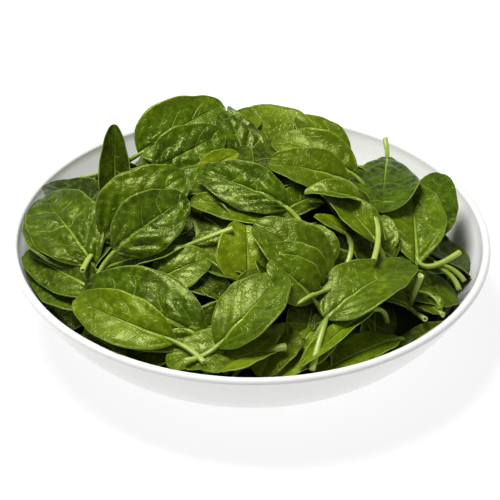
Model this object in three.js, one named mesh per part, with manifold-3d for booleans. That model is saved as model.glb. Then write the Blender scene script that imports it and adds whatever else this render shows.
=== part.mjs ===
// A low white bowl heaped with loose spinach leaves.
// Millimetres, +Z up, origin on the table under the middle of the bowl, front of the bowl at -Y.
import * as THREE from "three";
import { mergeGeometries, mergeVertices } from "three/addons/utils/BufferGeometryUtils.js";
import Module from "manifold-3d";

const wasm = await Module();
wasm.setup();

// Bowl: a flat foot, a wall that steepens towards the rim, and a rounded lip
const RIM_RADIUS = 130;
const BOWL_HEIGHT = 50;
const FOOT_RADIUS = 62;
const WALL = 4.8;
const FLOOR = 6;
const WALL_POWER = 0.35;
const BOWL_SIDES = 64;
const CURVE_STEPS = 8;
const LIP_STEPS = 4;
const LIP_RADIUS = WALL / 2;
const WALL_TOP = BOWL_HEIGHT - LIP_RADIUS;
const INNER_RIM = RIM_RADIUS - WALL;
const INNER_FLOOR_RADIUS = FOOT_RADIUS - 2;

// Heap: its general height, highest behind the middle, with three low places where the wall is bare
const GAP = 0.35;
const HEAP_TOP = 92;
const HEAP_FALL = 45;
const HEAP_MIDDLE_Y = 18;
const HEAP_SIDE_REACH = 120;
const HEAP_FRONT_REACH = 130;
const HEAP_BACK_REACH = 100;
const LOW_PLACES = [
  { x: -92, y: 74, depth: 30, reach: 40 },
  { x: 118, y: 26, depth: 24, reach: 30 },
  { x: 72, y: 90, depth: 36, reach: 44 },
];
const CORE_DEPTH = 6;
const CORE_EDGE_FALL = 6;
const CORE_SIDES = 30;
const CORE_RINGS = 10;
const DOME_FROM = 0.01;
const CEILING = 120;

// Leaf: thickness at the midrib, width at both ends, how its outline tapers, and the waves of its edge
const LEAF_THICKNESS = 1.4;
const END_WIDTH = 0.8;
const BASE_ROUNDING = 0.9;
const TIP_ROUNDING = 0.5;
const WAVE_SHARE = 0.022;
const WAVES = 1.5;

// Triangles of a leaf: fewer across a narrow one, and one row for each step of its length
const LEAF_CROSS_STEPS = 4;
const NARROW_CROSS_STEPS = 2;
const NARROW_WIDTH = 22;
const LEAF_STEP_LENGTH = 16;
const LEAF_STEPS_LEAST = 3;
const LEAF_STEPS_MOST = 6;

// Stalk: it starts inside the blade and bends; a stub is the short one that goes down into the heap
const STALK_DIAMETER = 3;
const STALK_SIDES = 5;
const STALK_STEPS = 3;
const STALK_OVERLAP = 0.12;
const STALK_BEND = 0.4;
const STUB_LENGTH = 10;
const STUB_DROP = 14;
const STUB_SIDES = 4;

// Room that leaves keep: out to the rim above the lip, and off the wall below it
const LEAF_REACH = 129;
const LEAF_ROOM = 1.2;

// Leaf that lies along the heap: width as a share of its length, widest place, arch, edges and height
const LAID_WIDTH_LEAST = 0.5;
const LAID_WIDTH_SPREAD = 0.2;
const LAID_BELLY = 0.43;
const LAID_ARCH = 4;
const LAID_CUP = 3;
const LAID_BASE_DROP = 1;
const LAID_TIP_LIFT = 3;
const SEED = 4711;
const MERGE_DISTANCE = 0.001;

// Each leaf: blade base x, y, z, tip x, y, z, width, place of the widest part, roll in degrees,
// arch of the midrib, height of the raised edges, sideways sway, and the stalk's cut end where it shows
const SHOWN_LEAVES = [
  // Back and top
  [-61, 30, 80, -16, 60, 95, 35, 0.35, 32, 3, 4, 0, -95, 50, 52],
  [-56, 20, 68, -30, 48, 87, 26, 0.42, 25, 3, 3, 0],
  [50, 26, 66, 27, 62, 87, 30, 0.5, 10, 4, 3, 0],
  [20, 22, 62, -1, 64, 91, 56, 0.52, 0, 4, 4, 0],
  [0, 16, 74, -15, 50, 96, 26, 0.45, 0, 3, 3, 0],
  [-52, 10, 80, -15, 32, 93, 30, 0.42, 35, 3, 3, 0],
  [57, 10, 80, 12, 34, 88, 28, 0.42, -25, 4, 3, 0],
  [-28, -2, 86, -7, 8, 95, 13, 0.42, 25, 2, 2, 0],
  [-20, -12, 80, -34, 2, 84, 20, 0.42, -20, 2, 2, 0],
  [52, -2, 84, 9, 2, 93, 25, 0.42, -25, 3, 3, 0],
  [23, -36, 80, -32, -22, 83, 20, 0.42, -20, 3, 3, 0, 33, -42, 80],
  [20, -30, 85, -28, -6, 92, 26, 0.42, -30, 4, 3, 0, 29, -44, 76],
  // Left side
  [-78, 4, 56, -114, 46, 50, 32, 0.42, 0, 2, 3, 0],
  [-74, 16, 52, -75, 38, 94, 17, 0.38, 0, 0, 5, 0],
  [-77, -34, 66, -34, -10, 92, 40, 0.42, 30, 6, 4, 0, -85, -62, 67],
  [-82, -46, 56, -117, 10, 56, 39, 0.45, -12, 4, 3, 0],
  [-80, -48, 59, -113, 13, 62, 39, 0.45, -20, 5, 4, 0],
  [-70, -53, 72, -33, -30, 91, 32, 0.45, 35, 4, 3, 0, -79, -57, 57],
  [-50, -68, 62, -20, -58, 73, 26, 0.45, 20, 3, 2, 0],
  [-32, -52, 76, -71, -61, 62, 14, 0.42, 20, 0, 2, 0, -9, -48, 84],
  [-76, -68, 49, -120, -30, 46, 26, 0.42, -30, 3, 3, 0],
  [-74, -66, 54, -120, -24, 50, 24, 0.42, -30, 3, 3, 0],
  // Right side
  [77, 58, 64, 69, -16, 74, 37, 0.66, 0, 4, 3, 0, 76, 70, 68],
  [91, -20, 54, 105, 36, 66, 28, 0.45, 10, 2, 2, 0],
  [87, -42, 59, 87, 16, 71, 33, 0.47, 0, 3, 3, 0, 110, -32, 60],
  [81, -38, 54, 86, 2, 70, 24, 0.45, 0, 3, 3, 0],
  [58, -22, 85, 28, -20, 88, 15, 0.42, 0, 3, 3, 0, 63, -60, 74],
  [66, -42, 72, 40, -18, 86, 20, 0.42, 0, 3, 3, 0],
  [72, -38, 62, 68, -16, 72, 14, 0.45, 0, 2, 2, 0],
  [83, -66, 48, 68, -66, 54, 12, 0.42, 0, 2, 2, 0, 89, -79, 51],
  [98, -70, 48, 86, -62, 48, 14, 0.42, 0, 2, 2, 0, 99, -71, 48],
  [78, -54, 50, 109, -50, 42, 28, 0.42, 0, 2, 2, 0],
  // Middle
  [50, -38, 75, 33, -32, 82, 9, 0.42, 0, 1, 1, 0, 48, -55, 63],
  [40, -58, 68, 33, -38, 80, 16, 0.42, 0, 2, 2, 0],
  [0, -70, 62, -3, -38, 83, 32, 0.42, 0, 4, 3, 0],
  [41, -68, 66, 2, -48, 87, 32, 0.42, -22, 4, 3, 0],
  [36, -74, 66, 14, -60, 82, 23, 0.42, -30, 3, 2, 0],
  [33, -82, 64, 10, -70, 80, 24, 0.42, -30, 3, 2, 0],
  [-4, -82, 65, 4, -70, 74, 10, 0.42, 0, 2, 2, 0],
  [-5, -60, 68, -28, -44, 76, 20, 0.42, -20, 2, 2, 0],
  [-23, -68, 63, -9, -79, 59, 16, 0.42, 0, 2, 2, 0],
  [-22, -60, 68, -4, -68, 66, 14, 0.42, 0, 2, 2, 0],
  // Front
  [-20, -101, 52, -85, -60, 56, 42, 0.45, -32, 5, 3, 0],
  [-36, -104, 54, -88, -71, 56, 28, 0.45, -28, 5, 3, -3, -22, -118, 52],
  [-62, -102, 42, -84, -84, 44, 20, 0.42, -20, 2, 2, 0],
  [-16, -109, 54, 16, -75, 75, 34, 0.45, 0, 4, 3, 3, -31, -118, 53],
  [-2, -108, 50, -41, -111, 47, 26, 0.45, -15, 3, 2, 0],
  [37, -84, 52, 14, -118, 44, 34, 0.42, 0, 2, 2, 0],
  [19, -90, 54, 6, -119, 44, 26, 0.42, 0, 2, 2, 0],
  [-20, -117, 46, 14, -109, 54, 22, 0.42, 0, 2, 3, 0],
  [38, -92, 60, 84, -52, 66, 36, 0.38, 0, 5, 3, 0],
  [63, -82, 60, 25, -119, 51, 11, 0.45, 0, 2, 2, 0],
  [76, -88, 46, 34, -115, 43, 20, 0.42, 0, 2, 2, 0],
  [72, -97, 40, 104, -74, 44, 14, 0.42, 0, 2, 2, 0],
];

// Leaves on the far slope: angle round the bowl, distance out, heading from the outward line, length
const FAR_LEAVES = [
  [48, 98, 80, 46],
  [64, 84, -70, 44],
  [78, 104, 70, 50],
  [88, 78, -10, 54],
  [94, 104, -110, 46],
  [104, 80, 100, 50],
  [112, 104, 10, 48],
  [122, 74, -50, 48],
  [100, 62, 20, 44],
  [146, 98, -100, 44],
];

// Loose stalks: start, middle and end, then the diameter
const LOOSE_STALKS = [
  [82, -62, 44, 84, -62, 54, 87, -62, 66, 4],
  [96, -38, 58, 106, -41, 55, 112, -44, 50, 3],
  [97, -39, 56, 105, -44, 53, 109, -49, 48, 3],
  [23, -88, 65, 31, -82, 67, 41, -74, 66, 2.8],
  [-30, -33, 79, -27, -40, 74, -27, -48, 70, 3],
  [84, -50, 44, 92, -60, 53, 98, -67, 49, 1.6],
  [6, -111, 50, 12, -111, 55, 18, -110, 56, 4],
  [39, -91, 61, 35, -105, 57, 31, -119, 49, 3.4],
];

const UP = new THREE.Vector3(0, 0, 1);

// A stream of numbers from 0 to 1 that is the same on every run
function seededDraws(seed) {
  const size = 2147483647;
  let state = seed;
  return () => {
    state = (state * 16807) % size;
    return state / size;
  };
}

// Radius of a wall that starts at the foot and reaches the rim when rise is 1
function wallRadius(foot, rim, rise) {
  return foot + (rim - foot) * Math.max(rise, 0) ** WALL_POWER;
}

function innerRadius(z) {
  return wallRadius(INNER_FLOOR_RADIUS, INNER_RIM, (z - FLOOR) / (WALL_TOP - FLOOR));
}

// Points up a wall, closer together where it bends most
function wallPoints(foot, rim, low, high) {
  return Array.from({ length: CURVE_STEPS + 1 }, (_, step) => {
    const rise = (step / CURVE_STEPS) ** 2;
    return new THREE.Vector2(wallRadius(foot, rim, rise), low + (high - low) * rise);
  });
}

function lipPoints() {
  const lip = [];
  for (let step = 1; step < LIP_STEPS; step += 1) {
    const turn = (Math.PI * step) / LIP_STEPS;
    const radius = RIM_RADIUS - LIP_RADIUS + LIP_RADIUS * Math.cos(turn);
    lip.push(new THREE.Vector2(radius, WALL_TOP + LIP_RADIUS * Math.sin(turn)));
  }
  return lip;
}

// A profile of radius and height, turned about the Z axis
function turned(profile, sides) {
  return new THREE.LatheGeometry(profile, sides).rotateX(Math.PI / 2);
}

function bowlGeometry() {
  const outside = wallPoints(FOOT_RADIUS, RIM_RADIUS, 0, WALL_TOP);
  const inside = wallPoints(INNER_FLOOR_RADIUS, INNER_RIM, FLOOR, WALL_TOP).reverse();
  const profile = [new THREE.Vector2(0, 0), ...outside, ...lipPoints(), ...inside];
  profile.push(new THREE.Vector2(0, FLOOR));
  return turned(profile, BOWL_SIDES);
}

// The room for the heap: the inside of the bowl less the gap, and the air above the lip
function roomGeometry() {
  const inside = wallPoints(INNER_FLOOR_RADIUS - GAP, INNER_RIM - GAP, FLOOR + GAP, WALL_TOP);
  const overLip = BOWL_HEIGHT + GAP;
  const profile = [
    new THREE.Vector2(0, FLOOR + GAP),
    ...inside,
    new THREE.Vector2(INNER_RIM - GAP, overLip),
    new THREE.Vector2(RIM_RADIUS, overLip),
    new THREE.Vector2(RIM_RADIUS, CEILING),
    new THREE.Vector2(0, CEILING),
  ];
  return turned(profile, CORE_SIDES);
}

// How far out a place is on the heap: 0 at its middle and 1 at its edge
function heapReach(x, y) {
  const along = y > HEAP_MIDDLE_Y ? HEAP_BACK_REACH : HEAP_FRONT_REACH;
  return (x / HEAP_SIDE_REACH) ** 2 + ((y - HEAP_MIDDLE_Y) / along) ** 2;
}

function heapTop(x, y) {
  let height = HEAP_TOP - HEAP_FALL * heapReach(x, y);
  for (const low of LOW_PLACES) {
    const away = ((x - low.x) ** 2 + (y - low.y) ** 2) / low.reach ** 2;
    height -= low.depth * Math.exp(-away);
  }
  return height;
}

function coreTop(x, y) {
  return heapTop(x, y) - CORE_DEPTH - CORE_EDGE_FALL * heapReach(x, y) ** 3;
}

// The packed middle of the heap: a low dome under the leaves, flat beneath
function coreGeometry() {
  const core = new THREE.SphereGeometry(1, CORE_SIDES, CORE_RINGS).rotateX(Math.PI / 2);
  const place = core.getAttribute("position");
  for (let i = 0; i < place.count; i += 1) {
    const x = place.getX(i) * RIM_RADIUS;
    const y = place.getY(i) * RIM_RADIUS;
    const z = place.getZ(i) > DOME_FROM ? Math.max(coreTop(x, y), FLOOR) : place.getZ(i) * FLOOR;
    place.setXYZ(i, x, y, z);
  }
  return core;
}

// The directions along, across and out of a leaf's face
function leafAxes(base, tip, roll) {
  const along = tip.clone().sub(base).normalize();
  const heading = Math.atan2(along.y, along.x);
  const flatSide = new THREE.Vector3(Math.sin(heading), -Math.cos(heading), 0);
  const flatFace = flatSide.clone().cross(along);
  const turn = THREE.MathUtils.degToRad(roll);
  const side = flatSide.clone().multiplyScalar(Math.cos(turn));
  side.addScaledVector(flatFace, -Math.sin(turn));
  const face = flatFace.multiplyScalar(Math.cos(turn));
  face.addScaledVector(flatSide, Math.sin(turn));
  return { along, side, face };
}

// Half the leaf's width as a share of its widest place, at a share of its length
function leafOutline(share, belly) {
  const skewed = share ** (Math.log(0.5) / Math.log(belly));
  const rounding = BASE_ROUNDING + (TIP_ROUNDING - BASE_ROUNDING) * share;
  return Math.max(Math.sin(Math.PI * skewed), 0) ** rounding;
}

// Keeps a leaf's point off the wall and the lip, and within the rim
function keepInBowl(point, room) {
  const out = Math.hypot(point.x, point.y);
  const low = point.z < BOWL_HEIGHT + room;
  const limit = low ? innerRadius(Math.min(point.z, WALL_TOP)) - room : LEAF_REACH;
  if (out > limit) {
    point.x *= limit / out;
    point.y *= limit / out;
  }
  return point;
}

// One leaf's middle surface: the place and the outward direction at a share of its length,
// and across it from -1 to 1
function leafSurface(row, draw) {
  const base = new THREE.Vector3(row[0], row[1], row[2]);
  const tip = new THREE.Vector3(row[3], row[4], row[5]);
  const [width, belly, roll, arch, cup, sway] = row.slice(6, 12);
  const axes = leafAxes(base, tip, roll);
  const length = base.distanceTo(tip);
  const phase = 2 * Math.PI * draw();
  const shift = 2 * Math.PI * draw();
  const bend = (share) => {
    const bow = 4 * (1 - 2 * share);
    const along = axes.along.clone().addScaledVector(axes.face, (arch * bow) / length);
    return along.addScaledVector(axes.side, (sway * bow) / length).normalize();
  };
  const at = (share, across) => {
    const bow = 4 * share * (1 - share);
    const along = bend(share);
    const side = axes.side.clone().addScaledVector(along, -axes.side.dot(along)).normalize();
    const face = side.clone().cross(along);
    const half = (width / 2) * leafOutline(share, belly) + END_WIDTH / 2;
    const wavePhase = across > 0 ? phase : shift;
    const wave = Math.sin(2 * Math.PI * WAVES * share + wavePhase) * WAVE_SHARE * length;
    const lift = (cup * across ** 2 + wave * Math.abs(across) ** 3) * leafOutline(share, belly);
    const point = base.clone().lerp(tip, share);
    point.addScaledVector(axes.face, arch * bow).addScaledVector(axes.side, sway * bow);
    point.addScaledVector(side, half * across).addScaledVector(face, lift);
    return { point: keepInBowl(point, LEAF_ROOM), face };
  };
  const crossSteps = width < NARROW_WIDTH ? NARROW_CROSS_STEPS : LEAF_CROSS_STEPS;
  return { base, start: bend(0), length, crossSteps, at };
}

// One face of a leaf, out of its middle surface by half the thickness where sign is 1
function leafSheet(surface, sign) {
  const steps = THREE.MathUtils.clamp(
    Math.round(surface.length / LEAF_STEP_LENGTH),
    LEAF_STEPS_LEAST,
    LEAF_STEPS_MOST,
  );
  const sheet = new THREE.PlaneGeometry(2, 1, surface.crossSteps, steps);
  const place = sheet.getAttribute("position");
  for (let i = 0; i < place.count; i += 1) {
    const even = 0.5 - place.getY(i);
    const share = (1 - Math.cos(Math.PI * even)) / 2;
    const across = Math.sin((place.getX(i) * Math.PI) / 2);
    const { point, face } = surface.at(share, across);
    const swell = (1 - across ** 2) * Math.sqrt(4 * share * (1 - share));
    point.addScaledVector(face, (sign * LEAF_THICKNESS * swell) / 2);
    place.setXYZ(i, point.x, point.y, point.z);
  }
  if (sign > 0) turnOver(sheet);
  return sheet;
}

// The same triangles, facing the other way
function turnOver(geometry) {
  const index = geometry.index;
  for (let i = 0; i < index.count; i += 3) {
    const second = index.getX(i + 1);
    index.setX(i + 1, index.getX(i + 2));
    index.setX(i + 2, second);
  }
}

function tube(curve, diameter, sides, steps) {
  const section = new THREE.Shape();
  for (let side = 0; side < sides; side += 1) {
    const turn = (2 * Math.PI * side) / sides;
    const x = (diameter / 2) * Math.cos(turn);
    const y = (diameter / 2) * Math.sin(turn);
    if (side) section.lineTo(x, y);
    else section.moveTo(x, y);
  }
  return new THREE.ExtrudeGeometry(section, { steps, extrudePath: curve });
}

// The stalk runs on from the blade and bends towards its cut end
function leafStalk(surface, end) {
  const stub = surface.base.clone().addScaledVector(surface.start, -STUB_LENGTH);
  const cut = end ?? stub.addScaledVector(UP, -STUB_DROP);
  const bend = surface.base.clone();
  bend.addScaledVector(surface.start, -STALK_BEND * cut.distanceTo(surface.base));
  const room = STALK_DIAMETER / 2 + GAP;
  const places = [surface.at(STALK_OVERLAP, 0).point, bend, cut];
  const curve = new THREE.QuadraticBezierCurve3(...places.map((place) => keepInBowl(place, room)));
  if (!end) return tube(curve, STALK_DIAMETER, STUB_SIDES, 1);
  return tube(curve, STALK_DIAMETER, STALK_SIDES, STALK_STEPS);
}

function looseStalk(row) {
  const start = new THREE.Vector3(row[0], row[1], row[2]);
  const end = new THREE.Vector3(row[6], row[7], row[8]);
  const middle = new THREE.Vector3(row[3], row[4], row[5]);
  const bend = middle.multiplyScalar(2).addScaledVector(start, -0.5).addScaledVector(end, -0.5);
  const curve = new THREE.QuadraticBezierCurve3(start, bend, end);
  return tube(curve, row[9], STALK_SIDES, STALK_STEPS);
}

// A row for a leaf that lies along the heap, rolled to follow the slope across it,
// and pressed down where the heap dips between its ends
function layingRow([angle, out, heading, length], draw) {
  const turn = THREE.MathUtils.degToRad(angle);
  const way = THREE.MathUtils.degToRad(angle + heading);
  const middle = new THREE.Vector2(out * Math.cos(turn), out * Math.sin(turn));
  const ahead = new THREE.Vector2(Math.cos(way), Math.sin(way)).multiplyScalar(length / 2);
  const base = middle.clone().sub(ahead);
  const tip = middle.clone().add(ahead);
  const right = new THREE.Vector2(Math.sin(way), -Math.cos(way));
  const slope = heapTop(middle.x + right.x, middle.y + right.y) - heapTop(middle.x, middle.y);
  const roll = -THREE.MathUtils.radToDeg(Math.atan(slope));
  const width = length * (LAID_WIDTH_LEAST + LAID_WIDTH_SPREAD * draw());
  const lift = LAID_TIP_LIFT * draw();
  const ends = (heapTop(base.x, base.y) + heapTop(tip.x, tip.y)) / 2;
  const sink = Math.max(ends - heapTop(middle.x, middle.y), 0);
  const baseZ = heapTop(base.x, base.y) - LAID_BASE_DROP - sink;
  const tipZ = heapTop(tip.x, tip.y) + lift - sink;
  const form = [width, LAID_BELLY, roll, LAID_ARCH, LAID_CUP, 0];
  return [base.x, base.y, baseZ, tip.x, tip.y, tipZ, ...form];
}

// A closed mesh as a solid that can be joined and cut
function solid(geometry) {
  const plain = geometry.clone();
  plain.deleteAttribute("normal");
  plain.deleteAttribute("uv");
  const merged = mergeVertices(plain, MERGE_DISTANCE);
  const vertProperties = new Float32Array(merged.getAttribute("position").array);
  const triVerts = new Uint32Array(merged.index.array);
  return new wasm.Manifold(new wasm.Mesh({ numProp: 3, vertProperties, triVerts }));
}

function geometryOf(joined) {
  const mesh = joined.getMesh();
  const geometry = new THREE.BufferGeometry();
  geometry.setAttribute("position", new THREE.BufferAttribute(mesh.vertProperties, 3));
  geometry.setIndex(new THREE.BufferAttribute(mesh.triVerts, 1));
  geometry.computeVertexNormals();
  return geometry;
}

// A leaf whose base is buried needs no stalk, unless its cut end shows
function leafSolid(row, draw) {
  const surface = leafSurface(row, draw);
  const blade = solid(mergeGeometries([leafSheet(surface, 1), leafSheet(surface, -1)]));
  const end = row.length > 12 ? new THREE.Vector3(row[12], row[13], row[14]) : undefined;
  const buried = surface.base.z < coreTop(surface.base.x, surface.base.y);
  return buried && !end ? blade : blade.add(solid(leafStalk(surface, end)));
}

// The outer skin of the largest body: a loose scrap is dropped and a sealed hollow is filled
function largestBody(joined) {
  return joined.decompose().reduce((most, body) => (body.volume() > most.volume() ? body : most));
}

function heapGeometry() {
  const draw = seededDraws(SEED);
  const farRows = FAR_LEAVES.map((place) => layingRow(place, draw));
  let heap = solid(coreGeometry());
  for (const row of [...SHOWN_LEAVES, ...farRows]) heap = heap.add(leafSolid(row, draw));
  for (const row of LOOSE_STALKS) heap = heap.add(solid(looseStalk(row)));
  const skin = largestBody(heap.intersect(solid(roomGeometry())));
  return geometryOf(largestBody(solid(geometryOf(skin))));
}

function namedMesh(name, geometry, material) {
  const mesh = new THREE.Mesh(geometry, material);
  mesh.name = name;
  return mesh;
}

function bowl() {
  const glaze = new THREE.MeshStandardMaterial({ color: 0xeeeeec, roughness: 0.25, metalness: 0 });
  return namedMesh("bowl", bowlGeometry(), glaze);
}

function spinachHeap() {
  const green = new THREE.MeshStandardMaterial({ color: 0x41661c, roughness: 0.5, metalness: 0 });
  return namedMesh("spinach_heap", heapGeometry(), green);
}

const part = new THREE.Group();
part.add(bowl(), spinachHeap());
export default part;
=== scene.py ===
# %% [markdown]
# A low white bowl, heaped with loose spinach leaves.
# The packed model holds the true sizes: a bowl, and the heap as one plain solid.
# This lesson keeps those sizes and swaps each plain solid for a finer one, leaf by leaf.
# That model is in metres and the shapes here are told in millimetres, so MM turns one into
# the other.

# %% Load the model
import math

import bpy
import numpy as np
from mathutils import Matrix, Vector


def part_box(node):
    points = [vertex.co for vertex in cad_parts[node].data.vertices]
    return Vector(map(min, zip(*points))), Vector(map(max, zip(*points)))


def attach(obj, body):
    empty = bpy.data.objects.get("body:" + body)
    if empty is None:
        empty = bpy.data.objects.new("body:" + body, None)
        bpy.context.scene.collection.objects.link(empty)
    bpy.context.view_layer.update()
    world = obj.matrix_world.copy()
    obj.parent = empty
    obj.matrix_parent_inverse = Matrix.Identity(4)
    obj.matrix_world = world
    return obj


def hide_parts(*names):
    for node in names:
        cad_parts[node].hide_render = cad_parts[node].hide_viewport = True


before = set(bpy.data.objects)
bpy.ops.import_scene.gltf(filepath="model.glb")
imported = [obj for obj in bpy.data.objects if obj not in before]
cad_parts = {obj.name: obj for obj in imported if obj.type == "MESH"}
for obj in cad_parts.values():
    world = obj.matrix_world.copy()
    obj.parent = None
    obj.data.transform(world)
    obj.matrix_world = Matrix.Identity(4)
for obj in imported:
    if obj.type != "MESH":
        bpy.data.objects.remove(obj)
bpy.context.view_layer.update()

MM = 0.001
bowl_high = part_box("bowl")[1]
RIM_RADIUS = bowl_high.x / MM
BOWL_HEIGHT = bowl_high.z / MM
print("bowl", round(2 * RIM_RADIUS), "mm across and", round(BOWL_HEIGHT), "mm high")

# %% [markdown]
# The camera stands in front of the bowl and looks down at it, as a cook at the counter would.
# A long lens a metre away gives the gentle perspective of a product picture.
# It could be placed by eye, but an ellipse tells more: the rim's height against its width
# gives the angle, so the camera is worked out from the rim and then tipped a little lower.

# %% Camera
CAMERA_DISTANCE = 1.0
CAMERA_ELEVATION = 33.9
LENS_IN_WIDTHS = 3.69
SENSOR_WIDTH = 36
CAMERA_DIP = 0.569
CAMERA_ROLL = 0.63

elevation = math.radians(CAMERA_ELEVATION)
camera_place = Vector((0, -math.cos(elevation), math.sin(elevation))) * CAMERA_DISTANCE
camera_place.z += bowl_high.z
bpy.ops.object.camera_add(location=camera_place)
camera = bpy.context.object
camera.name = "camera"
tilt = Matrix.Rotation(math.radians(90 - CAMERA_ELEVATION - CAMERA_DIP), 4, "X")
roll = Matrix.Rotation(math.radians(CAMERA_ROLL), 4, "Z")
camera.matrix_world = Matrix.Translation(camera_place) @ tilt @ roll
camera.data.sensor_width = SENSOR_WIDTH
camera.data.lens = LENS_IN_WIDTHS * SENSOR_WIDTH
bpy.context.scene.camera = camera
print("camera with a lens of", round(camera.data.lens, 1), "mm")

# %% [markdown]
# The light is that of a product picture: soft, and mostly from one side.
# The key lamp hangs at the upper left, a little behind the bowl, because light that comes
# over the leaves towards the camera shows their waxy sheen and their puckers.
# A weak fill from the front right opens the shadows, and a white world lights the gaps.
# The plain colour transform keeps white white, which a filmic one would turn grey.

# %% Lights
KEY_PLACE = (-0.28, 0.12, 1.1)
KEY_SIZE = 0.42
KEY_POWER = 18.5
FILL_PLACE = (0.8, -0.7, 0.7)
FILL_SIZE = 0.7
FILL_POWER = 1.5
WORLD_STRENGTH = 0.22
WHITE = (1, 1, 1, 1)


def add_lamp(name, place, size, power):
    bpy.ops.object.light_add(type="AREA", location=place)
    lamp = bpy.context.object
    lamp.name = name
    lamp.data.size = size
    lamp.data.energy = power
    lamp.rotation_euler = (-Vector(place)).to_track_quat("-Z", "Y").to_euler()


add_lamp("key_lamp", KEY_PLACE, KEY_SIZE, KEY_POWER)
add_lamp("fill_lamp", FILL_PLACE, FILL_SIZE, FILL_POWER)
scene = bpy.context.scene
scene.view_settings.view_transform = "Standard"
scene.world = bpy.data.worlds.new("studio")
scene.world.use_nodes = True
sky = scene.world.node_tree.nodes["Background"]
sky.inputs["Color"].default_value = WHITE
sky.inputs["Strength"].default_value = WORLD_STRENGTH
print("two lamps of", KEY_POWER, "and", FILL_POWER, "watts")

# %% [markdown]
# The bowl stands on a plain pale floor, so that nothing competes with the food.
# A curved sheet of paper could rise behind it, but from this high the camera sees only
# floor, so one large plane does. It lies a hair lower than the foot ring, because two
# surfaces at one height flicker, and it is marked as stage, because it isn't part of the bowl.

# %% Floor
FLOOR_SIZE = 12
FLOOR_DROP = 0.5

bpy.ops.mesh.primitive_plane_add(size=FLOOR_SIZE, location=(0, 0, -FLOOR_DROP * MM))
floor = bpy.context.object
floor.name = "floor"
print("a floor", FLOOR_SIZE, "metres wide")

# %% [markdown]
# A finish is a small web of nodes, and its sums are easier to read as Python.
# They could be drawn in the node editor, but a page of wires says less than a line of sums.
# A signal wraps one socket, so that adding or multiplying two signals adds a Math node.

# %% A signal
class Signal:
    """One value in a finish, with arithmetic."""

    def __init__(self, finish, socket):
        self.finish = finish
        self.socket = socket

    def math(self, operation, *values):
        inputs = dict(enumerate(values))
        return self.finish.node("ShaderNodeMath", {"operation": operation}, inputs)

    def __add__(self, other):
        return self.math("ADD", self, other)

    def __sub__(self, other):
        return self.math("SUBTRACT", self, other)

    def __rsub__(self, other):
        return self.math("SUBTRACT", other, self)

    def __mul__(self, other):
        return self.math("MULTIPLY", self, other)

    def __abs__(self):
        return self.math("ABSOLUTE", self)

    __radd__ = __add__
    __rmul__ = __mul__


print("signals can be added, subtracted, multiplied and made positive")

# %% [markdown]
# A finish owns a material with one Principled shader, whose fixed values are set first.
# Every node comes from one method, called node, and the patterns that come back in
# several finishes have short methods of their own.
# The patterns read object coordinates, so that they stay in place on each piece.

# %% A finish
class Finish:
    """A material with one Principled shader, built by its own methods."""

    def __init__(self, name, **constants):
        self.material = bpy.data.materials.new(name)
        self.material.use_nodes = True
        self.tree = self.material.node_tree
        self.shader = self.tree.nodes["Principled BSDF"]
        for socket, value in constants.items():
            self.shader.inputs[socket.replace("_", " ")].default_value = value
        self.places = self.node("ShaderNodeTexCoord", {}, {}, "Object")

    def node(self, kind, settings, inputs, output=0):
        made = self.tree.nodes.new(kind)
        for name, value in settings.items():
            setattr(made, name, value)
        for name, value in inputs.items():
            self.set(made.inputs[name], value)
        return Signal(self, made.outputs[output])

    def set(self, socket, value):
        if isinstance(value, Signal):
            self.tree.links.new(value.socket, socket)
        else:
            socket.default_value = value

    def feed(self, name, value):
        self.set(self.shader.inputs[name], value)

    def attribute(self, name):
        return self.node("ShaderNodeAttribute", {"attribute_name": name}, {}, "Fac")

    def noise(self, scale, detail=2):
        inputs = {"Vector": self.places, "Scale": scale, "Detail": detail}
        return self.node("ShaderNodeTexNoise", {}, inputs)

    def cells(self, scale):
        inputs = {"Vector": self.places, "Scale": scale}
        return self.node("ShaderNodeTexVoronoi", {"feature": "DISTANCE_TO_EDGE"}, inputs)

    def step(self, value, low, high):
        inputs = {"Value": value, "From Min": low, "From Max": high}
        return self.node("ShaderNodeMapRange", {"interpolation_type": "SMOOTHSTEP"}, inputs)

    def blend(self, share, start, end):
        inputs = {0: share, 6: start, 7: end}
        return self.node("ShaderNodeMix", {"data_type": "RGBA"}, inputs, 2)

    def bump(self, height, distance, strength=1.0):
        inputs = {"Height": height, "Distance": distance, "Strength": strength}
        self.feed("Normal", self.node("ShaderNodeBump", {}, inputs))


def give(piece, *finishes):
    piece.data.materials.clear()
    for finish in finishes:
        piece.data.materials.append(finish.material)


print("a finish offers", [name for name in vars(Finish) if not name.startswith("_")])

# %% [markdown]
# In a studio the paper under the food is lit until it is nearly pure white.
# Lamps as strong as that would bleach the leaves here, so the floor glows by itself instead.
# Its own colour is dark, which keeps the bowl's shadow on it faint.

# %% Floor finish
FLOOR_GLOW = 0.8
FLOOR_GREY = (0.25, 0.25, 0.25, 1)

floor_finish = Finish("pale_floor", Roughness=0.9, Emission_Strength=FLOOR_GLOW)
floor_finish.feed("Base Color", FLOOR_GREY)
floor_finish.feed("Emission Color", WHITE)
give(floor, floor_finish)
print("the floor is", floor.data.materials[0].name)

# %% [markdown]
# The bowl is thrown or pressed stoneware: a flat foot, a wall that steepens to the rim,
# and a rounded lip. A low ring under the foot is what the real one stands on.
# Its section could be drawn by hand. A few sizes and one curve tell it here, because the
# leaves need the same curve later, to stay inside the wall.
# Each point of the section is a radius and a height.

# %% The bowl's section
FOOT_RADIUS = 62
WALL = 4.8
FLOOR_THICKNESS = 6
WALL_POWER = 0.35
WALL_STEPS = 26
LIP_STEPS = 10
LIP_RADIUS = WALL / 2
WALL_TOP = BOWL_HEIGHT - LIP_RADIUS
INNER_RIM = RIM_RADIUS - WALL
INNER_FLOOR_RADIUS = 60
FOOT_RING = [(50, 1.6), (53, 0.3), (55, 0)]


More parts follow.
